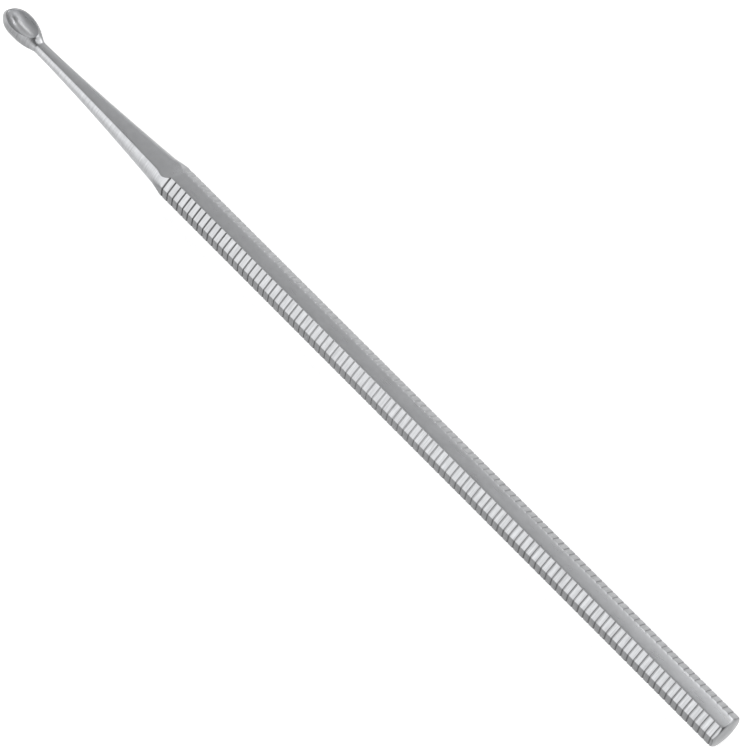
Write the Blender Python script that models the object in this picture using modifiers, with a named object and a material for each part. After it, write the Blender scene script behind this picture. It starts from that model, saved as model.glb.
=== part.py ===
"""Bone curette: one piece of stainless steel, with an octagonal grooved handle and a spoon-shaped bowl.

Metres, +Z up. The instrument lies along X on the flat underside of its handle, bowl towards -X,
with the origin under the middle of its length. Heights named "above the axis" are measured
from the middle line of the handle.
"""

import math

import bmesh
import bpy
from mathutils import Matrix, Vector

# Whole instrument and handle
LENGTH = 0.1705
HANDLE_LENGTH = 0.1281
ACROSS_FLATS = 0.006
BUTT_EDGE_RADIUS = 0.0008
BUTT_CROWN = 0.00035

# Shoulder, where the tapered shank meets the octagon
SHOULDER_LENGTH = 0.0028
SHANK_END_RADIUS = 0.00274
CLIMB_POWER = 4

# Shank: round, tapered, with a flat ground along the top and another along the underside
TAPER_POWER = 1.48
NECK_RADIUS = 0.00114
NECK_DROP = 0.00015
FLAT_DEPTH_AT_NECK = 0.00007
FLAT_DEPTH_AT_SHOULDER = 0.00047
UNDERSIDE_FLAT_DELAY = 0.0042
UNDERSIDE_RUN_OUT = 0.0025

# Bowl: a bulb with a blunt point at the nose, its top cut away and hollowed
BOWL_NOSE = 0.00433
BOWL_BACK = 0.00457
BOWL_RADIUS = 0.002305
NOSE_FULLNESS = 2.6
NOSE_POINT = 0.8
BOWL_RISE = 0.00076
TIP_DROP = 0.00058
BACK_DROP = 0.00042
NECK_LENGTH = 0.0004
NECK_FILLET = 0.0006
RIM_HEIGHT = 0.00195
RIM_DIP = 0.0008
RIM_DIP_LENGTH = 0.0026
BACK_SLOPE_LENGTH = 0.00085
BACK_FILLET = 0.0012
TIP_WALL = 0.00098
SIDE_WALL = 0.00016
BACK_WALL = 0.00105
FLOOR_WALL = 0.001

# Grooves across the three faces on each side of the handle
GROOVE_PITCH = 0.00122
GROOVE_WIDTH = 0.00034
GROOVE_DEPTH = 0.00022
GROOVE_INSET = 0.0001
FAR_SIDE_SHIFT = 0.0005

# Fineness of the mesh
SIDES = 44
NOSE_RINGS = 9
BACK_RINGS = 11
NECK_RINGS = 5
RIM_STEPS = 6
FILLET_STEPS = 8
SHANK_RINGS = 13
SHOULDER_RINGS = 4
CLIMB_STEPS = 6
BUTT_RINGS = 4
HOLLOW_SEGMENTS = 40
HOLLOW_RINGS = 21
OVERCUT = 0.001
SMOOTH_ANGLE = math.radians(25)

HALF_FLATS = ACROSS_FLATS / 2
CORNER_RADIUS = HALF_FLATS / math.cos(math.pi / 8)
TURNED_RADIUS = CORNER_RADIUS + GROOVE_DEPTH
SHOULDER = LENGTH - HANDLE_LENGTH
SHANK_END = SHOULDER - SHOULDER_LENGTH
BULB_LENGTH = BOWL_NOSE + BOWL_BACK
NECK = BULB_LENGTH + NECK_LENGTH
RIM_END = BULB_LENGTH - BACK_SLOPE_LENGTH


def blend(share):
    """Rises from 0 to 1 with level ends."""
    share = min(max(share, 0.0), 1.0)
    return share * share * (3 - 2 * share)


def eased_larger(first, second):
    """The larger of two sizes, rounded off over the stretch where they are nearly the same."""
    closeness = max(NECK_FILLET - abs(first - second), 0.0)
    return max(first, second) + closeness ** 2 / (4 * NECK_FILLET)


def taper_share(x):
    """How far x lies along the shank, from 0 at the neck to 1 at the shoulder."""
    return min(max((x - NECK) / (SHANK_END - NECK), 0.0), 1.0)


def shank_radius(x):
    """Radius of the round shank, and of the cone that runs from it over the octagon's corners."""
    if x > SHANK_END:
        share = (x - SHANK_END) / SHOULDER_LENGTH
        return SHANK_END_RADIUS + (CORNER_RADIUS - SHANK_END_RADIUS) * share
    return NECK_RADIUS + (SHANK_END_RADIUS - NECK_RADIUS) * taper_share(x) ** TAPER_POWER


def shank_middle(x):
    """Height of the shank's middle line above the axis: it dips a little towards the neck."""
    return -NECK_DROP * (1 - taper_share(x)) ** 2


def flat_reach(x):
    """Distance of the shank's flats from its middle line."""
    deepening = (FLAT_DEPTH_AT_SHOULDER - FLAT_DEPTH_AT_NECK) * taper_share(x) ** TAPER_POWER
    return shank_radius(x) - FLAT_DEPTH_AT_NECK - deepening


def bulb_share(x):
    """Distance from the widest point of the bulb, as a share of the half it lies in."""
    half = BOWL_NOSE if x < BOWL_NOSE else BOWL_BACK
    return min(abs(x - BOWL_NOSE) / half, 1.0)


def outline_share(share, nose):
    """Radius as a share of the widest: it comes to a blunt point at the nose and is an ellipse behind."""
    if nose:
        return (1 - share ** NOSE_FULLNESS) ** NOSE_POINT
    return math.sqrt(1 - share ** 2)


def bulb_radius(x):
    return BOWL_RADIUS * outline_share(bulb_share(x), x < BOWL_NOSE)


def bulb_middle(x):
    drop = TIP_DROP if x < BOWL_NOSE else BACK_DROP
    return BOWL_RISE - drop * bulb_share(x) ** 2


def section(x):
    """Half width, widest level, top and bottom of the turned form at x, above the axis."""
    bulb = bulb_radius(x)
    level = bulb_middle(x)
    if x <= BOWL_NOSE:
        return bulb, level, level + bulb, level - bulb
    shank = shank_radius(x)
    middle = shank_middle(x)
    share = blend((x - BOWL_NOSE) / (NECK - BOWL_NOSE))
    half_width = eased_larger(bulb, shank)
    widest = level + (middle - level) * share
    bottom = (level - bulb) * (1 - share) + (middle - shank) * share
    top = eased_larger(level + bulb, middle + shank)
    return half_width, widest, top, bottom


def ring(x):
    """Points round the section at x: an upper and a lower half ellipse that share their width."""
    half_width, widest, top, bottom = section(x)
    points = []
    for step in range(SIDES):
        angle = 2 * math.pi * step / SIDES
        half_height = top - widest if math.sin(angle) > 0 else widest - bottom
        points.append(Vector((x, half_width * math.cos(angle), widest + half_height * math.sin(angle))))
    return points


def stations():
    """Places along X where the turned form has a ring, from the tip to the last ring before the butt."""
    places = []
    for step in range(1, NOSE_RINGS + 1):
        places.append(BOWL_NOSE * (1 - math.cos(math.pi / 2 * step / NOSE_RINGS)))
    for step in range(1, BACK_RINGS + 1):
        places.append(BOWL_NOSE + BOWL_BACK * math.sin(math.pi / 2 * step / (BACK_RINGS + 1)))
    start = places[-1]
    for step in range(1, NECK_RINGS + 1):
        places.append(start + (NECK - start) * step / NECK_RINGS)
    for step in range(1, SHANK_RINGS + 1):
        places.append(NECK + (SHANK_END - NECK) * step / SHANK_RINGS)
    for step in range(1, SHOULDER_RINGS + 1):
        places.append(SHANK_END + SHOULDER_LENGTH * step / SHOULDER_RINGS)
    return places


def butt_rings():
    """Rings of the rounded, slightly crowned end, wide enough to clear the octagon's corners at first."""
    crown_start = LENGTH - BUTT_CROWN
    face_radius = CORNER_RADIUS - BUTT_EDGE_RADIUS
    crown_step = 0.5
    rings = [(crown_start - BUTT_EDGE_RADIUS, TURNED_RADIUS)]
    for step in range(1, BUTT_RINGS + 1):
        angle = math.pi / 2 * step / (BUTT_RINGS + 1)
        along = crown_start - BUTT_EDGE_RADIUS * (1 - math.sin(angle))
        rings.append((along, face_radius + BUTT_EDGE_RADIUS * math.cos(angle)))
    rings.append((crown_start + BUTT_CROWN * crown_step, face_radius * math.sqrt(1 - crown_step)))
    return rings


def place_x(x):
    """X in the finished frame of a point x from the tip."""
    return x - LENGTH / 2


def new_object(name, mesh_source, collection):
    """Turns a bmesh into an object of this collection, lifted so that the handle's underside is at zero."""
    mesh = bpy.data.meshes.new(name)
    for vertex in mesh_source.verts:
        vertex.co.x = place_x(vertex.co.x)
        vertex.co.z += HALF_FLATS
    bmesh.ops.recalc_face_normals(mesh_source, faces=mesh_source.faces)
    mesh_source.to_mesh(mesh)
    mesh_source.free()
    made = bpy.data.objects.new(name, mesh)
    collection.objects.link(made)
    return made


def new_cutter(name, mesh_source, collection):
    cutter = new_object(name, mesh_source, collection)
    cutter.hide_render = True
    cutter.display_type = "WIRE"
    return cutter


def add_boolean(target, cutter, operation):
    modifier = target.modifiers.new(cutter.name, "BOOLEAN")
    modifier.object = cutter
    modifier.operation = operation
    modifier.solver = "EXACT"


def bridge(mesh, first, second):
    """Quads between two rings with the same number of points."""
    count = len(first)
    for index in range(count):
        following = (index + 1) % count
        mesh.faces.new((first[index], first[following], second[following], second[index]))


def fan(mesh, tip, rim):
    """Triangles from one point to a ring."""
    for index in range(len(rim)):
        mesh.faces.new((tip, rim[index], rim[(index + 1) % len(rim)]))


def turned_form(collection):
    """The bulb, neck, shank and butt as one loft along X, wider than the octagon past the shoulder."""
    mesh = bmesh.new()
    rings = [ring(x) for x in stations()]
    for along, radius in [(SHOULDER + OVERCUT, TURNED_RADIUS)] + butt_rings():
        angles = [2 * math.pi * step / SIDES for step in range(SIDES)]
        rings.append([Vector((along, radius * math.cos(a), radius * math.sin(a))) for a in angles])
    loops = [[mesh.verts.new(point) for point in points] for points in rings]
    for first, second in zip(loops, loops[1:]):
        bridge(mesh, first, second)
    fan(mesh, mesh.verts.new((0, 0, bulb_middle(0))), loops[0])
    fan(mesh, mesh.verts.new((LENGTH, 0, 0)), loops[-1])
    return new_object("curette", mesh, collection)


def octagon_bar(collection):
    """The eight-sided stock with flats above and below, from ahead of the tip to past the butt."""
    mesh = bmesh.new()
    flats_level = Matrix.Rotation(math.pi / 8, 4, "Z")
    along_x = Matrix.Rotation(math.pi / 2, 4, "Y")
    bmesh.ops.create_cone(
        mesh,
        cap_ends=True,
        segments=8,
        radius1=CORNER_RADIUS,
        radius2=CORNER_RADIUS,
        depth=LENGTH + 2 * OVERCUT,
        matrix=Matrix.Translation((LENGTH / 2, 0, 0)) @ along_x @ flats_level,
    )
    return new_cutter("octagon_bar", mesh, collection)


def side_cutter(name, outline, collection):
    """A solid across the instrument whose side view is the outline, given as (x, z) pairs."""
    mesh = bmesh.new()
    reach = ACROSS_FLATS
    near = [mesh.verts.new((x, -reach, z)) for x, z in outline]
    far = [mesh.verts.new((x, reach, z)) for x, z in outline]
    mesh.faces.new(near)
    mesh.faces.new(far)
    bridge(mesh, near, far)
    return new_cutter(name, mesh, collection)


def shank_flat(start, side):
    """Side view of the upper (+1) or lower (-1) flat from start, up the shoulder and out of the octagon."""
    outline = []
    for step in range(SHANK_RINGS + 1):
        x = start + (SHANK_END - start) * step / SHANK_RINGS
        outline.append((x, shank_middle(x) + side * flat_reach(x)))
    flat_end = flat_reach(SHANK_END)
    climb = HALF_FLATS - flat_end
    for step in range(1, CLIMB_STEPS + 1):
        share = math.sqrt(step / CLIMB_STEPS)
        height = flat_end + climb * share ** CLIMB_POWER
        outline.append((SHANK_END + SHOULDER_LENGTH * share, side * height))
    outline.append((SHOULDER + SHOULDER_LENGTH, side * (HALF_FLATS + climb * CLIMB_POWER)))
    return outline


def top_cutter(collection):
    """Cuts the rim, which dips at the nose, the curve behind the bowl and the flat along the shank."""
    ceiling = CORNER_RADIUS + 2 * OVERCUT
    outline = [(-OVERCUT, ceiling), (-OVERCUT, RIM_HEIGHT - RIM_DIP)]
    for step in range(RIM_STEPS + 1):
        share = step / RIM_STEPS
        outline.append((RIM_DIP_LENGTH * share, RIM_HEIGHT - RIM_DIP * (1 - share) ** 2))
    outline.append((RIM_END, RIM_HEIGHT))
    flat_start = shank_middle(NECK) + flat_reach(NECK)
    sweep = math.acos(1 - min((RIM_HEIGHT - flat_start) / BACK_FILLET, 1.0))
    arc_end = RIM_END + BACK_FILLET * math.sin(sweep)
    for step in range(1, FILLET_STEPS):
        angle = sweep * (1 - step / FILLET_STEPS)
        height = flat_start + BACK_FILLET * (1 - math.cos(angle))
        outline.append((arc_end - BACK_FILLET * math.sin(angle), height))
    outline += shank_flat(arc_end, 1)
    outline.append((SHOULDER + SHOULDER_LENGTH, ceiling))
    return side_cutter("top_cutter", outline, collection)


def underside_cutter(collection):
    """Cuts the flat along the underside of the shank, which runs out before the neck."""
    floor = -CORNER_RADIUS - 2 * OVERCUT
    flat_start = NECK + min(UNDERSIDE_FLAT_DELAY, (SHANK_END - NECK) / 2)
    run_out = max(flat_start - UNDERSIDE_RUN_OUT, NECK)
    outline = [(run_out, floor), (run_out, shank_middle(flat_start) - shank_radius(flat_start))]
    outline += shank_flat(flat_start, -1)
    outline.append((SHOULDER + SHOULDER_LENGTH, floor))
    return side_cutter("underside_cutter", outline, collection)


def hollow_cutter(collection):
    """The bowl's hollow, shaped like the bulb: its middle is at the rim, inside the walls left round it."""
    mesh = bmesh.new()
    bmesh.ops.create_uvsphere(mesh, u_segments=HOLLOW_SEGMENTS, v_segments=HOLLOW_RINGS, radius=1)
    half_width = math.sqrt(BOWL_RADIUS ** 2 - (RIM_HEIGHT - BOWL_RISE) ** 2) - SIDE_WALL
    depth = RIM_HEIGHT - (BOWL_RISE - BOWL_RADIUS) - FLOOR_WALL
    for vertex in mesh.verts:
        share = min(abs(vertex.co.x), 1.0)
        nose = vertex.co.x < 0
        length = BOWL_NOSE - TIP_WALL if nose else BOWL_BACK - BACK_WALL
        around = math.hypot(vertex.co.y, vertex.co.z)
        if around > 0:
            slimming = outline_share(share, nose) / around
            vertex.co.y *= slimming * half_width
            vertex.co.z *= slimming * depth
        vertex.co.x = BOWL_NOSE + vertex.co.x * length
        vertex.co.z += RIM_HEIGHT
    return new_cutter("hollow_cutter", mesh, collection)


def groove_cutter(name, side, first, collection):
    """V-shaped grooves across the three faces on one side (+1 or -1), repeated along the handle."""
    mesh = bmesh.new()
    deep = HALF_FLATS - GROOVE_DEPTH
    out = HALF_FLATS + GROOVE_DEPTH
    past = HALF_FLATS + OVERCUT
    loops = []
    for turn in (-2, -1, 1, 2):
        loop = []
        for apothem, along in ((deep, 0), (out, -GROOVE_WIDTH), (out, GROOVE_WIDTH)):
            if abs(turn) == 1:
                y = apothem
                z = apothem * math.tan(math.pi / 8)
            else:
                y = apothem * math.sqrt(2) - past
                z = past
            loop.append(mesh.verts.new((first + along, side * y, math.copysign(z, turn))))
        loops.append(loop)
    for start, end in zip(loops, loops[1:]):
        bridge(mesh, start, end)
    mesh.faces.new(loops[0])
    mesh.faces.new(loops[-1])
    cutter = new_cutter(name, mesh, collection)
    array = cutter.modifiers.new("along_handle", "ARRAY")
    array.use_relative_offset = False
    array.use_constant_offset = True
    array.constant_offset_displace = (GROOVE_PITCH, 0, 0)
    array.count = int((LENGTH - BUTT_EDGE_RADIUS - first) / GROOVE_PITCH) + 1
    return cutter


def steel():
    """Satin stainless steel."""
    material = bpy.data.materials.new("satin_steel")
    material.use_nodes = True
    shader = material.node_tree.nodes["Principled BSDF"]
    shader.inputs["Base Color"].default_value = (0.62, 0.63, 0.64, 1)
    shader.inputs["Metallic"].default_value = 1.0
    shader.inputs["Roughness"].default_value = 0.3
    return material


def main():
    for old in list(bpy.data.objects):
        bpy.data.objects.remove(old)
    parts = bpy.data.collections.new("bone_curette")
    cutters = bpy.data.collections.new("cutters")
    bpy.context.scene.collection.children.link(parts)
    bpy.context.scene.collection.children.link(cutters)

    curette = turned_form(parts)
    first_groove = SHOULDER + GROOVE_INSET
    add_boolean(curette, octagon_bar(cutters), "INTERSECT")
    add_boolean(curette, top_cutter(cutters), "DIFFERENCE")
    add_boolean(curette, underside_cutter(cutters), "DIFFERENCE")
    add_boolean(curette, hollow_cutter(cutters), "DIFFERENCE")
    near = groove_cutter("near_grooves", -1, first_groove, cutters)
    far = groove_cutter("far_grooves", 1, first_groove + FAR_SIDE_SHIFT, cutters)
    add_boolean(curette, near, "DIFFERENCE")
    add_boolean(curette, far, "DIFFERENCE")

    curette.data.materials.append(steel())
    curette.data.shade_smooth()
    curette.data.set_sharp_from_angle(angle=SMOOTH_ANGLE)


main()
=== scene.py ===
"""Looks of the bone curette: its finished steel surface, a white table, soft studio light and the camera.

Metres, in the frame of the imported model: X along the instrument from the bowl's tip to the butt, +Z up,
the handle's underside on the table at zero. Distances called x below are measured from the tip, and
heights and widths from the handle's middle line. The camera's side is -Y, called near; +Y is far.
"""

import math

import bmesh
import bpy
import numpy as np
from mathutils import Matrix, Vector


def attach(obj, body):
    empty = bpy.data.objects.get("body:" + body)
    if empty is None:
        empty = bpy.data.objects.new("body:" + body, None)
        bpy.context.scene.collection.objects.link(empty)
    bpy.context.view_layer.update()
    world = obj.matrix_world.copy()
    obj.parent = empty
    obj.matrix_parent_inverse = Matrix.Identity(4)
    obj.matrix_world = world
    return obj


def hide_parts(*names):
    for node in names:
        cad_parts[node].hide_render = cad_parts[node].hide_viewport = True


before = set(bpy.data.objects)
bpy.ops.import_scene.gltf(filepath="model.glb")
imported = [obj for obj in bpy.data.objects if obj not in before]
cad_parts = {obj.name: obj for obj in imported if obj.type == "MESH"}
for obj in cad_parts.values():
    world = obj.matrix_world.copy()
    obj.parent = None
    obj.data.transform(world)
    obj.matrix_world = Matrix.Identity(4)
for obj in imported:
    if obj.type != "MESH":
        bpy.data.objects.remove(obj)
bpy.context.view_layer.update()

# Whole instrument and handle. The crown of a flat goes on past its edge, to CROWN_REACH half widths from
# its middle.
LENGTH = 0.1705
HANDLE_LENGTH = 0.1281
FACES = 8
ACROSS_FLATS = 0.006
BUTT_EDGE_RADIUS = 0.0008
BUTT_CROWN = 0.00035
HANDLE_EDGE_ROUNDING = 0.0001
FACE_CROWN = 0.00003
CROWN_REACH = 1.5

# Shoulder and shank
SHOULDER_LENGTH = 0.0028
SHOULDER_EASING = 0.0005
SHANK_END_RADIUS = 0.00274
CLIMB_POWER = 4
TAPER_POWER = 1.48
NECK_RADIUS = 0.00114
NECK_DROP = 0.00015
FLAT_DEPTH_AT_NECK = 0.00007
FLAT_DEPTH_AT_SHOULDER = 0.00047
FLAT_EDGE_ROUNDING = 0.00004
UNDERSIDE_FLAT_DELAY = 0.0042

# Bowl. Ahead of the rim's end the back's curve rises at BACK_RISE, so that it cuts nothing there.
BOWL_NOSE = 0.00433
BOWL_BACK = 0.00457
BOWL_RADIUS = 0.002305
NOSE_FULLNESS = 2.6
NOSE_POINT = 0.8
BOWL_RISE = 0.00076
TIP_DROP = 0.00058
BACK_DROP = 0.00042
NECK_LENGTH = 0.0004
NECK_FILLET = 0.0006
RIM_HEIGHT = 0.00195
RIM_DIP = 0.0008
RIM_DIP_LENGTH = 0.0026
RIM_EDGE = 0.00003
BACK_SLOPE_LENGTH = 0.00085
BACK_FILLET = 0.0012
BACK_ROUNDING = 0.00015
BACK_RISE = 2
TIP_WALL = 0.00098
SIDE_WALL = 0.00016
BACK_WALL = 0.00105
FLOOR_WALL = 0.001

# Grooves
GROOVE_PITCH = 0.00122
GROOVE_WIDTH = 0.00034
GROOVE_DEPTH = 0.00007
GROOVE_INSET = 0.0001
GROOVE_LIP = 0.000035
FAR_SIDE_SHIFT = 0.0005
NEAR_GROOVES = 105
FAR_GROOVES = 104

# Sizes and places that follow from these; TIP is the tip's place on X
TIP = -LENGTH / 2
FACE_TURN = 2 * math.pi / FACES
HALF_FLATS = ACROSS_FLATS / 2
CORNER_RADIUS = HALF_FLATS / math.cos(FACE_TURN / 2)
TURNED_RADIUS = CORNER_RADIUS + GROOVE_DEPTH
BUTT_FACE_RADIUS = CORNER_RADIUS - BUTT_EDGE_RADIUS
BUTT_ROUNDING_START = LENGTH - BUTT_CROWN - BUTT_EDGE_RADIUS
SHOULDER = LENGTH - HANDLE_LENGTH
SHANK_END = SHOULDER - SHOULDER_LENGTH
BULB_LENGTH = BOWL_NOSE + BOWL_BACK
NECK = BULB_LENGTH + NECK_LENGTH
RIM_END = BULB_LENGTH - BACK_SLOPE_LENGTH
FIRST_GROOVE = SHOULDER + GROOVE_INSET
LAST_GROOVE = FIRST_GROOVE + (NEAR_GROOVES - 1) * GROOVE_PITCH

# Points round a ring: a cluster at each of its eight corners and even steps between. A side runs from the
# middle of the cluster at its upper corner to the middle of the one at its lower corner. NEAR_POINT is one
# on the near side.
CORNER_POINTS = 4
TOP_POINTS = 9
BOTTOM_POINTS = 5
SIDE_FACE_POINTS = 6
SIDE_POINTS = 3 * (SIDE_FACE_POINTS + CORNER_POINTS)
RING_POINTS = TOP_POINTS + BOTTOM_POINTS + 2 * CORNER_POINTS + 2 * SIDE_POINTS
FAR_SIDE_START = TOP_POINTS + CORNER_POINTS // 2 - 1
NEAR_SIDE_START = FAR_SIDE_START + SIDE_POINTS + BOTTOM_POINTS + CORNER_POINTS
NEAR_POINT = RING_POINTS - TOP_POINTS

# Widths of the clusters, as lengths and as angles, and the least angle from a flat's middle to its edge
HANDLE_CLUSTER_WIDTH = 2.2 * HANDLE_EDGE_ROUNDING
SHANK_CLUSTER_WIDTH = 4 * FLAT_EDGE_ROUNDING
HANDLE_CLUSTER = HANDLE_CLUSTER_WIDTH / CORNER_RADIUS
SHANK_CLUSTER = SHANK_CLUSTER_WIDTH / NECK_RADIUS
LEAST_EDGE_TURN = math.radians(12)

# Numbers of the corners that lie on no edge of the shank's two flats
BETWEEN_FLATS = (1, 2, 5, 6)

# A flat is followed only at angles whose cosine is above these
LEAST_FLAT_COSINE = 0.05
LEAST_FACE_COSINE = 0.3

# Rings along the instrument. Steps at a groove are in groove widths from its middle, and shares of the
# butt's edge in its radius.
HOLLOW_LOOPS = 26
LAND_SHARES = (0.25, 0.75)
BULB_LOOPS = 46
SHANK_STATIONS = 70
SHOULDER_STATIONS = 26
SHOULDER_SPACING_POWER = 0.75
GROOVE_STEPS = (-0.66, -0.52, -0.4, -0.22, 0.22, 0.4, 0.52, 0.66)
LAST_GROOVE_LEAD = 0.65
LAST_GROOVE_STEP = GROOVE_WIDTH / 8
EVEN_RINGS_END = 0.5
TURNED_RINGS_START = 0.52
BUTT_STATIONS = 12
CROWN_SHARES = (0.9, 0.75, 0.6, 0.45, 0.3, 0.15)

# The bulb's loops: the tilt over which they lose the rim's dip, and how finely their places are searched
DIP_FADE = 0.4
PROFILE_STEPS = 400
TILT_ROUNDS = 6
SHEET_SAMPLES = 200
SHEET_REACH = 1.2
EDGE_HALVINGS = 40

# Distances that count as nothing
JUST_OUTSIDE = 1e-6
NO_WIDTH = 1e-9


def blend(share):
    """Rises from 0 to 1 with level ends."""
    share = min(max(share, 0.0), 1.0)
    return share * share * (3 - 2 * share)


def eased_larger(first, second, easing):
    """The larger of two values, rounded off where they are closer than the easing."""
    closeness = max(easing - abs(first - second), 0.0)
    return max(first, second) + closeness ** 2 / (4 * easing)


def eased_smaller(first, second, easing):
    return -eased_larger(-first, -second, easing)


# Form of the shank and the bowl, as functions of x

def taper_share(x):
    return min(max((x - NECK) / (SHANK_END - NECK), 0.0), 1.0)


def shank_radius(x):
    if x > SHANK_END:
        share = (x - SHANK_END) / SHOULDER_LENGTH
        return SHANK_END_RADIUS + (CORNER_RADIUS - SHANK_END_RADIUS) * share
    return NECK_RADIUS + (SHANK_END_RADIUS - NECK_RADIUS) * taper_share(x) ** TAPER_POWER


def shank_middle(x):
    return -NECK_DROP * (1 - taper_share(x)) ** 2


def flat_reach(x):
    """Distance of the upper flat from the shank's middle line.

    It climbs to the handle's top face at the shoulder, and the end of the climb is rounded off.
    """
    if x > SHANK_END:
        share = (x - SHANK_END) / SHOULDER_LENGTH
        climb = HALF_FLATS - flat_reach(SHANK_END)
        if share < 1:
            height = flat_reach(SHANK_END) + climb * share ** CLIMB_POWER
        else:
            height = HALF_FLATS + climb * CLIMB_POWER * (share - 1)
        return eased_smaller(height, HALF_FLATS, SHOULDER_EASING)
    deepening = (FLAT_DEPTH_AT_SHOULDER - FLAT_DEPTH_AT_NECK) * taper_share(x) ** TAPER_POWER
    return shank_radius(x) - FLAT_DEPTH_AT_NECK - deepening


def underside_reach(x):
    """The same for the lower flat, which fades in behind the neck."""
    fade = blend((x - NECK) / UNDERSIDE_FLAT_DELAY)
    return shank_radius(x) - (shank_radius(x) - flat_reach(x)) * fade


def bulb_share(x):
    """Distance from the widest place of the bulb, as a share of the nose's or the back's length."""
    half = BOWL_NOSE if x < BOWL_NOSE else BOWL_BACK
    return min(abs(x - BOWL_NOSE) / half, 1.0)


def outline_share(share, nose):
    """Radius as a share of the widest: it comes to a blunt point at the nose and is an ellipse behind."""
    if nose:
        return (1 - share ** NOSE_FULLNESS) ** NOSE_POINT
    return math.sqrt(1 - share ** 2)


def bulb_radius(x):
    return BOWL_RADIUS * outline_share(bulb_share(x), x < BOWL_NOSE)


def bulb_middle(x):
    drop = TIP_DROP if x < BOWL_NOSE else BACK_DROP
    return BOWL_RISE - drop * bulb_share(x) ** 2


def section(x):
    """Half width, widest level, top and bottom of the bulb and neck at x."""
    bulb = bulb_radius(x)
    level = bulb_middle(x)
    if x <= BOWL_NOSE:
        return bulb, level, level + bulb, level - bulb
    shank = shank_radius(x)
    middle = shank_middle(x)
    share = blend((x - BOWL_NOSE) / (NECK - BOWL_NOSE))
    half_width = eased_larger(bulb, shank, NECK_FILLET)
    widest = level + (middle - level) * share
    bottom = (level - bulb) * (1 - share) + (middle - shank) * share
    top = eased_larger(level + bulb, middle + shank, NECK_FILLET)
    return half_width, widest, top, bottom


def rim_height(x):
    """Height of the rim, which dips at the nose."""
    return RIM_HEIGHT - RIM_DIP * max(1 - x / RIM_DIP_LENGTH, 0.0) ** 2


def back_height(x):
    """Height of the hollow curve ground down the back of the bowl, from the rim to the shank's flat."""
    flat_start = shank_middle(NECK) + flat_reach(NECK)
    sweep = math.acos(1 - min((RIM_HEIGHT - flat_start) / BACK_FILLET, 1.0))
    arc_end = RIM_END + BACK_FILLET * math.sin(sweep)
    if x < RIM_END:
        return RIM_HEIGHT + BACK_RISE * (RIM_END - x)
    if x > arc_end:
        return flat_start
    return flat_start + BACK_FILLET - math.sqrt(BACK_FILLET ** 2 - (arc_end - x) ** 2)


def outside_bulb(point, with_back=True):
    """How far a point is outside the bulb and neck; negative inside."""
    x, y, z = point
    if x <= 0:
        return -x + JUST_OUTSIDE
    half_width, widest, top, bottom = section(x)
    half_height = top - widest if z > widest else widest - bottom
    if half_width < NO_WIDTH or half_height < NO_WIDTH:
        return math.hypot(y, z - widest)
    outside = (math.hypot(y / half_width, (z - widest) / half_height) - 1) * min(half_width, half_height)
    if with_back:
        outside = eased_larger(outside, z - back_height(x), BACK_ROUNDING)
    return outside


def edge_along(place, inside, limit):
    """Last point of a path, given as a function of the distance, that is still inside."""
    low, high = 0.0, limit
    for _ in range(EDGE_HALVINGS):
        middle = (low + high) / 2
        if inside(place(middle)):
            low = middle
        else:
            high = middle
    return place(low)


# Rings round the shank and the handle. Their angles run from straight up towards the far side.

def groove_depth(x, first, count):
    """Depth of a side's grooves at x: narrow cuts with eased lips and a floor half as wide as the mouth."""
    number = min(max(round((x - first) / GROOVE_PITCH), 0), count - 1)
    away = abs(x - first - number * GROOVE_PITCH)
    wall = 2 * GROOVE_DEPTH * (1 - 2 * away / GROOVE_WIDTH)
    return eased_smaller(eased_larger(wall, 0.0, GROOVE_LIP), GROOVE_DEPTH, GROOVE_LIP)


def face_distances(x_near, x_far):
    """Distance of the handle's eight faces from its middle line, the top face first."""
    near = HALF_FLATS - groove_depth(x_near, FIRST_GROOVE, NEAR_GROOVES)
    far = HALF_FLATS - groove_depth(x_far, FIRST_GROOVE + FAR_SIDE_SHIFT, FAR_GROOVES)
    return [HALF_FLATS, far, far, far, HALF_FLATS, near, near, near]


def corner_turn(first, second):
    """Angle from the middle of one face to its corner with the next, from their distances."""
    return math.atan2(second / first - math.cos(FACE_TURN), math.sin(FACE_TURN))


def corner_angles(distances):
    """Angle of each corner of the octagon, the first between the top and the far upper face."""
    following = distances[1:] + distances[:1]
    return [index * FACE_TURN + corner_turn(distances[index], following[index]) for index in range(FACES)]


def ring_angles(corners, spread):
    """Angles of a ring's points: a cluster at each of its eight corners, even steps between."""
    cluster = [spread * (step / (CORNER_POINTS - 1) - 0.5) for step in range(CORNER_POINTS)]
    counts = [TOP_POINTS] + [SIDE_FACE_POINTS] * 3 + [BOTTOM_POINTS] + [SIDE_FACE_POINTS] * 3
    angles = []
    for index in range(FACES):
        start = corners[index - 1] - (2 * math.pi if index == 0 else 0) + cluster[-1]
        end = corners[index] + cluster[0]
        for step in range(1, counts[index] + 1):
            share = step / (counts[index] + 1)
            angles.append(start + (end - start) * share)
        angles += [corners[index] + offset for offset in cluster]
    return angles


def shank_corners(top_far, bottom_far, bottom_near, top_near):
    """Corners of a round ring: the edges of its two flats, and two places on each side between them."""
    low_far = math.pi - bottom_far
    low_near = math.pi + bottom_near
    high_near = 2 * math.pi - top_near
    side_far = (low_far - top_far) / 3
    side_near = (high_near - low_near) / 3
    return [top_far, top_far + side_far, low_far - side_far, low_far,
            low_near, low_near + side_near, high_near - side_near, high_near]


def edge_turn(reach, radius, face):
    """Angle from the middle of a flat to its edge, on the round or on the octagon's next face."""
    turn = min(math.acos(min(reach / radius, 1.0)), corner_turn(reach, face))
    return max(turn, LEAST_EDGE_TURN)


def crowned(distance, away, edge):
    """Distance of a slightly crowned flat at an angle away from its middle; edge is its edge's angle."""
    return distance - FACE_CROWN * min(abs(math.tan(away)) / math.tan(edge), CROWN_REACH) ** 2


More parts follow.
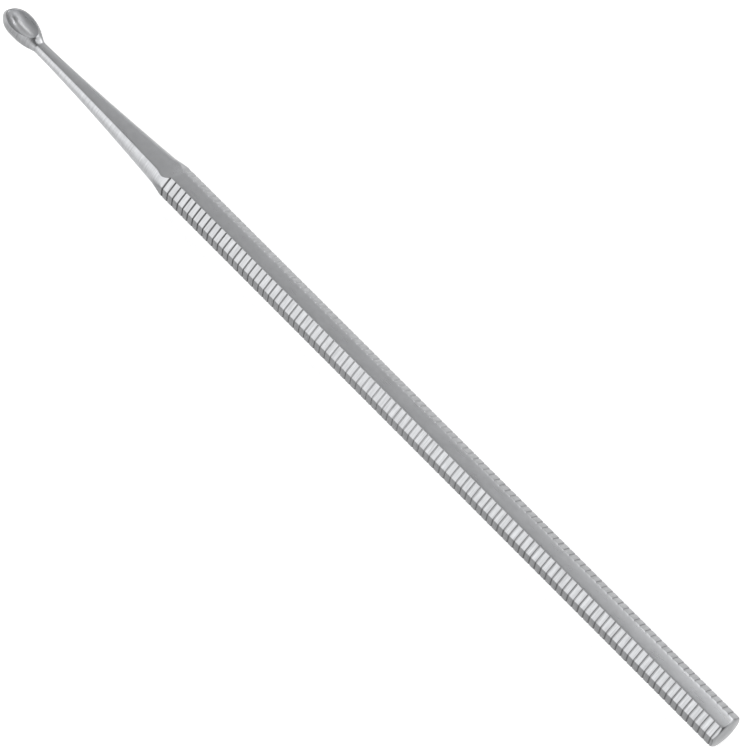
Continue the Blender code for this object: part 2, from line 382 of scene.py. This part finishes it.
def octagon_reach(angle, distances):
    """Distance from the middle line to the octagon's rounded outline at an angle."""
    nearest = []
    for index in range(FACES):
        away = angle - index * FACE_TURN
        if math.cos(away) > LEAST_FACE_COSINE:
            nearest.append(crowned(distances[index], away, FACE_TURN / 2) / math.cos(away))
    nearest.sort()
    return eased_smaller(nearest[0], nearest[1], HANDLE_EDGE_ROUNDING)


def shank_ring(x):
    """Points round the shank at x, which becomes the octagon at the shoulder."""
    radius = shank_radius(x)
    top = flat_reach(x)
    bottom = underside_reach(x)
    distances = face_distances(x, x)
    corners = shank_corners(edge_turn(top, radius, distances[1]),
                            edge_turn(bottom, radius, distances[3]),
                            edge_turn(bottom, radius, distances[5]),
                            edge_turn(top, radius, distances[7]))
    share = blend((x - SHANK_END) / SHOULDER_LENGTH)
    goal = corner_angles(distances)
    for index in BETWEEN_FLATS:
        corners[index] += (goal[index] - corners[index]) * share
    angles = ring_angles(corners, SHANK_CLUSTER + (HANDLE_CLUSTER - SHANK_CLUSTER) * share)
    middle = shank_middle(x)
    points = []
    for angle in angles:
        up = math.cos(angle)
        reach = radius
        if up > LEAST_FLAT_COSINE:
            reach = eased_smaller(reach, crowned(top, angle, corners[0]) / up, FLAT_EDGE_ROUNDING)
        if up < -LEAST_FLAT_COSINE:
            reach = eased_smaller(reach, bottom / -up, FLAT_EDGE_ROUNDING)
        if x > SHANK_END:
            reach = eased_smaller(reach, octagon_reach(angle, distances), FLAT_EDGE_ROUNDING)
        points.append((x, reach * math.sin(angle), middle + reach * up))
    return points


def turned_limit(x):
    """Radius of the rounded and slightly crowned butt at x, and one outside the octagon ahead of it."""
    into = x - BUTT_ROUNDING_START
    if into <= 0:
        return TURNED_RADIUS
    if into < BUTT_EDGE_RADIUS:
        return BUTT_FACE_RADIUS + math.sqrt(BUTT_EDGE_RADIUS ** 2 - into ** 2)
    return BUTT_FACE_RADIUS * math.sqrt(max(1 - (into - BUTT_EDGE_RADIUS) / BUTT_CROWN, 0.0))


def far_shift(x):
    """How much later the far side's grooves come, fading out at the butt."""
    return FAR_SIDE_SHIFT * blend((LENGTH - BUTT_CROWN - x) / BUTT_EDGE_RADIUS)


def handle_ring(x):
    """Points round the handle; those of the far side lie a little further on, at that side's own groove."""
    x_far = x + far_shift(x)
    distances = face_distances(x, x_far)
    distances[0] = distances[4] = flat_reach(x)
    corners = corner_angles(distances)
    points = []
    for angle in ring_angles(corners, HANDLE_CLUSTER):
        across = min(max(math.sin(angle) / math.sin(corners[0]), -1.0), 1.0)
        along = x + (x_far - x) * (across + 1) / 2
        reach = eased_smaller(octagon_reach(angle, distances), turned_limit(along), HANDLE_EDGE_ROUNDING)
        points.append((along, reach * math.sin(angle), reach * math.cos(angle)))
    return points


def handle_stations():
    """Places of the handle's rings: close together at each groove before the last, none between."""
    places = []
    for number in range(NEAR_GROOVES - 1):
        groove = FIRST_GROOVE + number * GROOVE_PITCH
        places += [groove + step * GROOVE_WIDTH for step in GROOVE_STEPS]
    return [x for x in places if SHOULDER < x < BUTT_ROUNDING_START - GROOVE_WIDTH]


def butt_loops():
    """Rings over the last groove, the rounded edge and the crown of the butt."""
    loops = []
    x = LAST_GROOVE - GROOVE_WIDTH * LAST_GROOVE_LEAD
    while x < BUTT_ROUNDING_START + BUTT_EDGE_RADIUS * EVEN_RINGS_END:
        loops.append(handle_ring(x))
        x += LAST_GROOVE_STEP
    start = math.asin(TURNED_RINGS_START)
    for step in range(BUTT_STATIONS):
        turn = start + (math.pi / 2 - start) * step / BUTT_STATIONS
        loops.append(handle_ring(BUTT_ROUNDING_START + BUTT_EDGE_RADIUS * math.sin(turn)))
    edge = loops[-1]
    for share in CROWN_SHARES:
        along = LENGTH - BUTT_CROWN * share ** 2
        radius = BUTT_FACE_RADIUS * share
        loops.append([(along, radius * y / math.hypot(y, z), radius * z / math.hypot(y, z))
                      for _, y, z in edge])
    return loops


# Loops over the bulb: sheets that turn about a line over the neck, from the rim's level to upright

def dip_share(tilt):
    """How far a loop follows the dip of the rim: wholly at the rim, not at all further down."""
    return 1 - blend(tilt / DIP_FADE)


def dipped(point, share):
    return Vector((point[0], point[1], point[2] + (rim_height(point[0]) - RIM_HEIGHT) * share))


def bulb_profile():
    """Tilts of the loops, evenly spaced down the side view from the front of the rim to the neck."""
    outline = []
    for step in range(PROFILE_STEPS + 1):
        x = BOWL_NOSE * (1 - math.sin(math.pi / 2 * step / PROFILE_STEPS))
        outline.append((x, section(x)[2] if x > 0 else bulb_middle(0)))
    for step in range(1, PROFILE_STEPS + 1):
        x = BOWL_NOSE * (1 - math.cos(math.pi / 2 * step / PROFILE_STEPS))
        outline.append((x, section(x)[3]))
    for step in range(1, PROFILE_STEPS + 1):
        x = BOWL_NOSE + (NECK - BOWL_NOSE) * step / PROFILE_STEPS
        outline.append((x, section(x)[3]))
    outline = np.array([point for point in outline if point[1] < rim_height(point[0])])
    travel = np.concatenate([[0], np.cumsum(np.hypot(*np.diff(outline, axis=0).T))])
    places = np.linspace(0, travel[-1], BULB_LOOPS + 1)[:-1]
    tilts = []
    for x, z in zip(np.interp(places, travel, outline[:, 0]), np.interp(places, travel, outline[:, 1])):
        tilt = math.atan2(RIM_HEIGHT - z, NECK - x)
        for _ in range(TILT_ROUNDS):
            level = RIM_HEIGHT + (rim_height(x) - RIM_HEIGHT) * dip_share(tilt)
            tilt = math.atan2(level - z, NECK - x)
        tilts.append(max(tilt, RIM_EDGE / NECK))
    return tilts


def even_angles():
    """Angles of a loop's points in even steps, the middle one of the top's points at the loop's back."""
    return [2 * math.pi * (step - (TOP_POINTS - 1) / 2) / RING_POINTS for step in range(RING_POINTS)]


def bulb_loop(tilt, angles, with_back=True):
    """Loop of the bulb's surface in a sheet tilted down from the rim about the line over the neck."""
    hinge = Vector((NECK, 0, RIM_HEIGHT))
    back = Vector((math.cos(tilt), 0, math.sin(tilt)))
    share = dip_share(tilt)

    def inside(point):
        return outside_bulb(point, with_back) < 0

    samples = [hinge - back * (NECK * SHEET_REACH * step / SHEET_SAMPLES)
               for step in range(1, SHEET_SAMPLES)]
    held = [point for point in samples if inside(dipped(point, share))]
    centre = (held[0] + held[-1]) / 2
    loop = []
    for angle in angles:
        direction = back * math.cos(angle) + Vector((0, math.sin(angle), 0))
        loop.append(edge_along(lambda far: dipped(centre + direction * far, share), inside, NECK))
    return loop


def bulb_loops():
    """The rim's outer edge, then loops forward and down round the bulb, without the neck's own ring."""
    edge = edge_turn(flat_reach(NECK), shank_radius(NECK), HALF_FLATS)
    neck_corners = shank_corners(edge, LEAST_EDGE_TURN, LEAST_EDGE_TURN, edge)
    neck_angles = ring_angles(neck_corners, SHANK_CLUSTER)
    even = even_angles()
    loops = [bulb_loop(0.0, even, with_back=False)]
    for tilt in bulb_profile():
        share = blend(tilt / (math.pi / 2))
        loops.append(bulb_loop(tilt, [a + (b - a) * share for a, b in zip(even, neck_angles)]))
    return loops


# The hollow of the bowl

def hollow_depth():
    return RIM_HEIGHT - (BOWL_RISE - BOWL_RADIUS) - FLOOR_WALL


def hollow_room(x):
    """Radius of the hollow at x as a share of its widest."""
    nose = x < BOWL_NOSE
    length = BOWL_NOSE - TIP_WALL if nose else BOWL_BACK - BACK_WALL
    return outline_share(min(abs(x - BOWL_NOSE) / length, 1.0), nose)


def in_hollow(point):
    x, y, z = point
    half_width = math.sqrt(BOWL_RADIUS ** 2 - (RIM_HEIGHT - BOWL_RISE) ** 2) - SIDE_WALL
    return math.hypot(y / half_width, (RIM_HEIGHT - z) / hollow_depth()) < hollow_room(x)


def hollow_loops():
    """The deepest point of the hollow, and loops from there up to the rim's inner edge."""
    middle = (TIP_WALL + BULB_LENGTH - BACK_WALL) / 2
    loops = []
    for step in range(1, HOLLOW_LOOPS + 1):
        sunk = math.cos(math.pi / 2 * step / HOLLOW_LOOPS)
        centre = Vector((middle, 0, RIM_HEIGHT - hollow_depth() * sunk))
        loop = []
        for angle in even_angles():
            direction = Vector((math.cos(angle), math.sin(angle), 0))
            loop.append(edge_along(lambda far: dipped(centre + direction * far, 1 - sunk), in_hollow, NECK))
        loops.append(loop)
    return Vector((middle, 0, RIM_HEIGHT - hollow_depth() * hollow_room(middle))), loops


# The whole surface as one mesh. Its faces have one of four finishes, and those of a groove start at
# SUNK_DEPTH. The near grooves' finish is darker by painted shade.

PLAIN, HOLLOW, NEAR_GROOVE, FAR_GROOVE = range(4)
SUNK_DEPTH = 0.4 * GROOVE_DEPTH


def surface_rings(hollow):
    """All rings, from the bottom of the hollow over the rim, the bulb and the shank to the butt."""
    bulb = bulb_loops()
    land = [[a + (b - a) * share for a, b in zip(hollow[-1], bulb[0])] for share in LAND_SHARES]
    rings = hollow + land + bulb
    for step in range(SHANK_STATIONS + 1):
        rings.append(shank_ring(NECK + (SHANK_END - NECK) * step / SHANK_STATIONS))
    for step in range(1, SHOULDER_STATIONS):
        share = (step / SHOULDER_STATIONS) ** SHOULDER_SPACING_POWER
        rings.append(shank_ring(SHANK_END + SHOULDER_LENGTH * share))
    rings += [handle_ring(x) for x in handle_stations()]
    return rings + butt_loops()


def groove_finish(first_ring, second_ring):
    """Finish of each face between two rings outside the hollow: plain, or a groove's on the sides."""
    middle = (first_ring[NEAR_POINT][0] + second_ring[NEAR_POINT][0]) / 2
    finish = [PLAIN] * RING_POINTS
    if groove_depth(middle, FIRST_GROOVE, NEAR_GROOVES) > SUNK_DEPTH:
        for start, groove in ((FAR_SIDE_START, FAR_GROOVE), (NEAR_SIDE_START, NEAR_GROOVE)):
            finish[start:start + SIDE_POINTS] = [groove] * SIDE_POINTS
    return finish


def curette_mesh():
    deepest, hollow = hollow_loops()
    rings = surface_rings(hollow)
    mesh = bmesh.new()

    def new_vertex(x, y, z):
        return mesh.verts.new((x + TIP, y, z + HALF_FLATS))

    def new_face(corners, finish):
        mesh.faces.new(corners).material_index = finish

    loops = [[new_vertex(*point) for point in ring] for ring in rings]
    for number, (first, second) in enumerate(zip(loops, loops[1:])):
        if number < len(hollow) - 1:
            finish = [HOLLOW] * RING_POINTS
        else:
            finish = groove_finish(rings[number], rings[number + 1])
        for index in range(RING_POINTS):
            following = (index + 1) % RING_POINTS
            new_face((first[index], second[index], second[following], first[following]), finish[index])
    lowest = new_vertex(*deepest)
    crown = new_vertex(LENGTH, 0, 0)
    for index in range(RING_POINTS):
        following = (index + 1) % RING_POINTS
        new_face((lowest, loops[0][index], loops[0][following]), HOLLOW)
        new_face((crown, loops[-1][following], loops[-1][index]), PLAIN)
    bmesh.ops.recalc_face_normals(mesh, faces=mesh.faces)
    for face in mesh.faces:
        face.smooth = True
    made = bpy.data.meshes.new("curette_steel")
    mesh.to_mesh(made)
    mesh.free()
    return made


# Short ways to add nodes

def set_input(tree, socket, value):
    """Sets a node's input to a number, or links it to another node's output."""
    if isinstance(value, (int, float)):
        socket.default_value = value
    else:
        tree.links.new(value, socket)


def add_math(tree, operation, *values):
    node = tree.nodes.new("ShaderNodeMath")
    node.operation = operation
    for socket, value in zip(node.inputs, values):
        set_input(tree, socket, value)
    return node.outputs[0]


def add_vector_math(tree, operation, first, second):
    node = tree.nodes.new("ShaderNodeVectorMath")
    node.operation = operation
    tree.links.new(first, node.inputs[0])
    tree.links.new(second, node.inputs[1])
    return node.outputs["Vector"]


def add_ramp(tree, source, start, end, low=0.0, high=1.0):
    """Goes from low to high as the source goes from start to end."""
    node = tree.nodes.new("ShaderNodeMapRange")
    set_input(tree, node.inputs["Value"], source)
    set_input(tree, node.inputs["From Min"], start)
    set_input(tree, node.inputs["From Max"], end)
    set_input(tree, node.inputs["To Min"], low)
    set_input(tree, node.inputs["To Max"], high)
    return node.outputs["Result"]


def add_split(tree, source):
    """X, Y and Z of a vector."""
    node = tree.nodes.new("ShaderNodeSeparateXYZ")
    tree.links.new(source, node.inputs[0])
    return node.outputs["X"], node.outputs["Y"], node.outputs["Z"]


def add_noise(tree, place, scale, stretch, detail):
    mapping = tree.nodes.new("ShaderNodeMapping")
    mapping.inputs["Scale"].default_value = stretch
    tree.links.new(place, mapping.inputs["Vector"])
    node = tree.nodes.new("ShaderNodeTexNoise")
    node.inputs["Scale"].default_value = scale
    node.inputs["Detail"].default_value = detail
    tree.links.new(mapping.outputs["Vector"], node.inputs["Vector"])
    return node.outputs["Fac"]


def product(tree, first, second):
    return add_math(tree, "MULTIPLY", first, second)


def new_material(name):
    material = bpy.data.materials.new(name)
    material.use_nodes = True
    return material, material.node_tree, material.node_tree.nodes["Principled BSDF"]


# Steel. Each shade is painted shade: the share of the steel's tone that is left on some faces, by the way
# they look or by their place. Without it they come out too bright beside the white table. The ranges give
# the part of the surface's direction along Y or X over which a shade sets in or fades out.
NEAR_SIDE_SHADE = 0.41
ROUND_SIDE_SHADE = 0.72
NEAR_RANGE = (-0.94, -0.78)
FAR_SIDE_SHADE = 0.55
FAR_RANGE = (0.25, 0.6)
END_SHADE = 0.46
END_RANGE = (0.0, 0.4)
FRONT_SHADE = 0.8
FRONT_RANGE = (-0.65, -0.3)
STREAKED_RANGE = (0.3, 0.6)
BOWL_SHADE = 0.66
FIRST_GROOVE_SHADE = 0.33

# Places over which a shade changes: the near side's on Y, the others on X. The bowl's fades out over the
# neck, and the first grooves' from the 7th groove to the 41st.
OUTERMOST_STRETCH = (-0.97 * HALF_FLATS, -0.88 * HALF_FLATS)
BUTT_STRETCH = (0.0, LENGTH / 4)
BOWL_STRETCH = (TIP + BULB_LENGTH * 0.9, TIP + NECK * 1.03)
GROOVE_STRETCH = tuple(TIP + FIRST_GROOVE + number * GROOVE_PITCH for number in (6, 40))

# Marks on the steel: the noise's scale, its share along each axis and its detail. The middle of the noise,
# NOISE_RANGE, is spread over each mark's own range.
CLOUDS = (900, (1, 1, 1), 3)
CLOUD_RANGE = (0.96, 1.04)
STREAKS = (6000, (1, 0.05, 0.05), 2)
LIGHT_STREAK = 0.8
GLOSS = (1500, (0.15, 1, 1), 3)
GLOSS_RANGE = (0.88, 1.12)
SCRATCHES = (9000, (0.08, 1, 1), 2)
SCRATCH_HEIGHT = 0.00001
NOISE_RANGE = (0.3, 0.7)


def steel(name, tone, roughness, grain, shade=1.0, stretch=BOWL_STRETCH, metallic=1.0, streaks=0.14):
    """Ground stainless steel: fine scratches, slight unevenness in gloss and colour.

    The sides are darker than the top by painted shade, and streaked across. The painted shade given as
    shade holds up to the start of the stretch and fades out over it.
    """
    material, tree, shader = new_material(name)
    shader.inputs["Metallic"].default_value = metallic
    coordinates = tree.nodes.new("ShaderNodeTexCoord")
    place = coordinates.outputs["Object"]
    place_x, place_y, _ = add_split(tree, place)
    facing_x, facing_y, _ = add_split(tree, coordinates.outputs["Normal"])

    # Painted shade by the way a face looks: on the near and far sides, on the butt's end and on faces that
    # look towards the tip. Painted shade by place: over the bowl, or over the first grooves.
    near_shade = add_ramp(tree, place_y, *OUTERMOST_STRETCH, NEAR_SIDE_SHADE, ROUND_SIDE_SHADE)
    near_side = add_ramp(tree, facing_y, *NEAR_RANGE, near_shade, 1.0)
    far_side = add_ramp(tree, facing_y, *FAR_RANGE, 1.0, FAR_SIDE_SHADE)
    end_shade = add_ramp(tree, place_x, *BUTT_STRETCH, 1.0, END_SHADE)
    end = add_ramp(tree, facing_x, *END_RANGE, 1.0, end_shade)
    front = add_ramp(tree, facing_x, *FRONT_RANGE, FRONT_SHADE, 1.0)
    along = add_ramp(tree, place_x, *stretch, shade, 1.0)

    clouds = add_ramp(tree, add_noise(tree, place, *CLOUDS), *NOISE_RANGE, *CLOUD_RANGE)
    sideways = add_math(tree, "ABSOLUTE", facing_y)
    darkest = add_ramp(tree, sideways, *STREAKED_RANGE, 1.0, 1.0 - streaks)
    lightest = add_ramp(tree, sideways, *STREAKED_RANGE, 1.0, 1.0 + LIGHT_STREAK * streaks)
    streaked = add_ramp(tree, add_noise(tree, place, *STREAKS), *NOISE_RANGE, darkest, lightest)

    # The clouds and streaks are marks on the steel. The part along the length is painted shade.
    marks_and_painted_shade = product(tree, product(tree, clouds, streaked), along)
    sides = product(tree, near_side, far_side)
    level = product(tree, product(tree, marks_and_painted_shade, sides), product(tree, end, front))
    colour = tree.nodes.new("ShaderNodeVectorMath")
    colour.operation = "SCALE"
    colour.inputs[0].default_value = tone
    tree.links.new(level, colour.inputs["Scale"])
    tree.links.new(colour.outputs["Vector"], shader.inputs["Base Color"])

    smoothest, roughest = (roughness * share for share in GLOSS_RANGE)
    uneven = add_ramp(tree, add_noise(tree, place, *GLOSS), *NOISE_RANGE, smoothest, roughest)
    tree.links.new(uneven, shader.inputs["Roughness"])
    bump = tree.nodes.new("ShaderNodeBump")
    bump.inputs["Strength"].default_value = grain
    bump.inputs["Distance"].default_value = SCRATCH_HEIGHT
    tree.links.new(add_noise(tree, place, *SCRATCHES), bump.inputs["Height"])
    tree.links.new(bump.outputs["Normal"], shader.inputs["Normal"])
    return material


def steel_finishes():
    """The materials in the order of the finishes: plain, hollow, near and far grooves."""
    return [
        # The plain steel is darker over the bowl by painted shade, which fades out over the neck.
        steel("satin_steel", (0.62, 0.628, 0.644), roughness=0.3, grain=0.15, shade=BOWL_SHADE),
        # The hollow is polished. Its lighter tone is painted light that lifts it out of its own shade.
        steel("polished_steel", (0.86, 0.868, 0.884), roughness=0.3, grain=0.08, metallic=0.7, streaks=0.0),
        # The near grooves' darker tone is painted shade in the grooves, and the first of them are darker
        # still by painted shade.
        steel("groove_steel", (0.42, 0.424, 0.432), roughness=0.5, grain=0.1, shade=FIRST_GROOVE_SHADE,
              stretch=GROOVE_STRETCH),
        steel("far_groove_steel", (0.62, 0.628, 0.644), roughness=0.4, grain=0.1),
    ]


# Table

TABLE_SIZE = 6.0
TABLE_GREY = 0.82
TABLE_ROUGHNESS = 0.9
TABLE_GLOW = 0.6


def white_table():
    """White sheet that shows at full white to the camera and in the steel, and keeps the shadow."""
    material, tree, shader = new_material("white_table")
    shader.inputs["Base Color"].default_value = (TABLE_GREY, TABLE_GREY, TABLE_GREY, 1)
    shader.inputs["Roughness"].default_value = TABLE_ROUGHNESS
    shader.inputs["Specular IOR Level"].default_value = 0.0
    path = tree.nodes.new("ShaderNodeLightPath")
    seen = add_math(tree, "MAXIMUM", path.outputs["Is Camera Ray"], path.outputs["Is Glossy Ray"])
    seen = add_math(tree, "MAXIMUM", seen, path.outputs["Is Transmission Ray"])
    shader.inputs["Emission Color"].default_value = (1, 1, 1, 1)
    tree.links.new(add_math(tree, "MULTIPLY", seen, TABLE_GLOW), shader.inputs["Emission Strength"])
    return material


def add_table():
    bpy.ops.mesh.primitive_plane_add(size=TABLE_SIZE, location=(0, 0, 0))
    table = bpy.context.active_object
    table.name = "table"
    table.data.materials.append(white_table())


# Light. STUDIO gives the brightness of the studio by the angle from straight up towards the camera's side,
# in degrees: pale behind, a dark opening overhead, a wide soft window on the near side. STUDIO_ALONG dims
# it by the part of the direction along X. The back glow is added to it, by the same two measures.
STUDIO = ((-180, 0.60), (-100, 0.70), (-72, 0.62), (-50, 0.49), (-24, 0.46), (-12, 0.42), (-4, 0.34),
          (16, 0.26), (25, 0.75), (33, 1.15), (60, 1.25), (80, 1.20), (100, 1.0), (180, 0.60))
STUDIO_ALONG = ((-1.0, 0.6), (-0.85, 1.0), (0.4, 1.0), (0.6, 0.2), (1.0, 0.2))
STUDIO_PEAK = 1.3
BACK_GLOW = 1.5
BACK_GLOW_ACROSS = ((-180, 0.0), (-110, 0.3), (-80, 1.0), (-52, 1.0), (-30, 0.2), (-16, 0.0),
                    (180, 0.0))
BACK_GLOW_ALONG = ((-1.0, 0.0), (-0.5, 0.12), (-0.35, 0.0), (-0.27, 0.04), (-0.23, 0.2), (-0.17, 0.5),
                   (0.2, 0.36), (0.45, 1.0), (1.0, 1.0))


def add_levels(tree, source, start, end, stops, scale=1.0):
    """Grey level through the stops, given as (measure, level), as the source goes from start to end."""
    levels = tree.nodes.new("ShaderNodeValToRGB")
    elements = levels.color_ramp.elements
    while len(elements) < len(stops):
        elements.new(0.5)
    for element, (at, level) in zip(elements, stops):
        element.position = (at - stops[0][0]) / (stops[-1][0] - stops[0][0])
        element.color = (level * scale, level * scale, level * scale, 1)
    tree.links.new(add_ramp(tree, source, start, end), levels.inputs["Fac"])
    return levels.outputs["Color"]


def studio_world():
    """Studio that lights the scene, and shows as plain white to the camera."""
    world = bpy.data.worlds.new("studio")
    world.use_nodes = True
    tree = world.node_tree
    background = tree.nodes["Background"]
    coordinates = tree.nodes.new("ShaderNodeTexCoord")
    along_x, along_y, up = add_split(tree, coordinates.outputs["Generated"])
    turn = add_math(tree, "ARCTAN2", add_math(tree, "MULTIPLY", along_y, -1.0), up)
    whole_turn = (-math.pi, math.pi)
    base = add_vector_math(tree, "MULTIPLY",
                           add_levels(tree, turn, *whole_turn, STUDIO, 1 / STUDIO_PEAK),
                           add_levels(tree, along_x, -1.0, 1.0, STUDIO_ALONG))
    glow = add_vector_math(tree, "MULTIPLY",
                           add_levels(tree, turn, *whole_turn, BACK_GLOW_ACROSS, BACK_GLOW / STUDIO_PEAK),
                           add_levels(tree, along_x, -1.0, 1.0, BACK_GLOW_ALONG))
    path = tree.nodes.new("ShaderNodeLightPath")
    shown = tree.nodes.new("ShaderNodeMix")
    shown.data_type = "RGBA"
    shown.inputs["B"].default_value = (1 / STUDIO_PEAK, 1 / STUDIO_PEAK, 1 / STUDIO_PEAK, 1)
    tree.links.new(path.outputs["Is Camera Ray"], shown.inputs["Factor"])
    tree.links.new(add_vector_math(tree, "ADD", base, glow), shown.inputs["A"])
    tree.links.new(shown.outputs["Result"], background.inputs["Color"])
    background.inputs["Strength"].default_value = STUDIO_PEAK
    bpy.context.scene.world = world


def softbox(name, centre, target, width, height, radiance):
    """Area lamp of the given brightness, facing the target."""
    data = bpy.data.lights.new(name, "AREA")
    data.shape = "RECTANGLE"
    data.size = width
    data.size_y = height
    data.energy = radiance * math.pi * width * height
    lamp = bpy.data.objects.new(name, data)
    bpy.context.scene.collection.objects.link(lamp)
    lamp.location = centre
    lamp.rotation_euler = (Vector(target) - Vector(centre)).to_track_quat("-Z", "Y").to_euler()


def light_the_scene():
    studio_world()
    softbox("back", centre=(0.30, 0.42, 0.42), target=(0.05, 0, 0), width=0.5, height=0.35, radiance=0.4)
    softbox("over_the_butt", centre=(0.135, 0.18, 0.22), target=(0.06, 0, 0), width=0.26, height=0.2,
            radiance=0.8)


# Camera, fitted to the handle's edges and grooves in the photograph

IMAGE_SIZE = 750
FOCAL_PIXELS = 4483.5
SENSOR_WIDTH = 36.0
CAMERA_PLACE = (0.213273, -0.278268, 0.625006)
CAMERA_RIGHT = (0.676241, 0.729848, 0.100100)
CAMERA_BACK = (0.293355, -0.391431, 0.872195)
NEAREST_SEEN = 0.01
FARTHEST_SEEN = 20.0


def add_camera():
    data = bpy.data.cameras.new("camera")
    data.sensor_width = SENSOR_WIDTH
    data.lens = FOCAL_PIXELS / IMAGE_SIZE * data.sensor_width
    data.clip_start = NEAREST_SEEN
    data.clip_end = FARTHEST_SEEN
    camera = bpy.data.objects.new("camera", data)
    bpy.context.scene.collection.objects.link(camera)
    back = Vector(CAMERA_BACK).normalized()
    right = Vector(CAMERA_RIGHT)
    right = (right - back * right.dot(back)).normalized()
    up = back.cross(right)
    turn = Matrix((right, up, back)).transposed().to_4x4()
    camera.matrix_world = Matrix.Translation(CAMERA_PLACE) @ turn
    bpy.context.scene.camera = camera


bpy.context.scene.view_settings.view_transform = "Standard"
add_camera()
light_the_scene()
add_table()

curette = bpy.data.objects.new("curette_steel", curette_mesh())
bpy.context.scene.collection.objects.link(curette)
for finish in steel_finishes():
    curette.data.materials.append(finish)
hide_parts("curette")
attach(curette, "root")
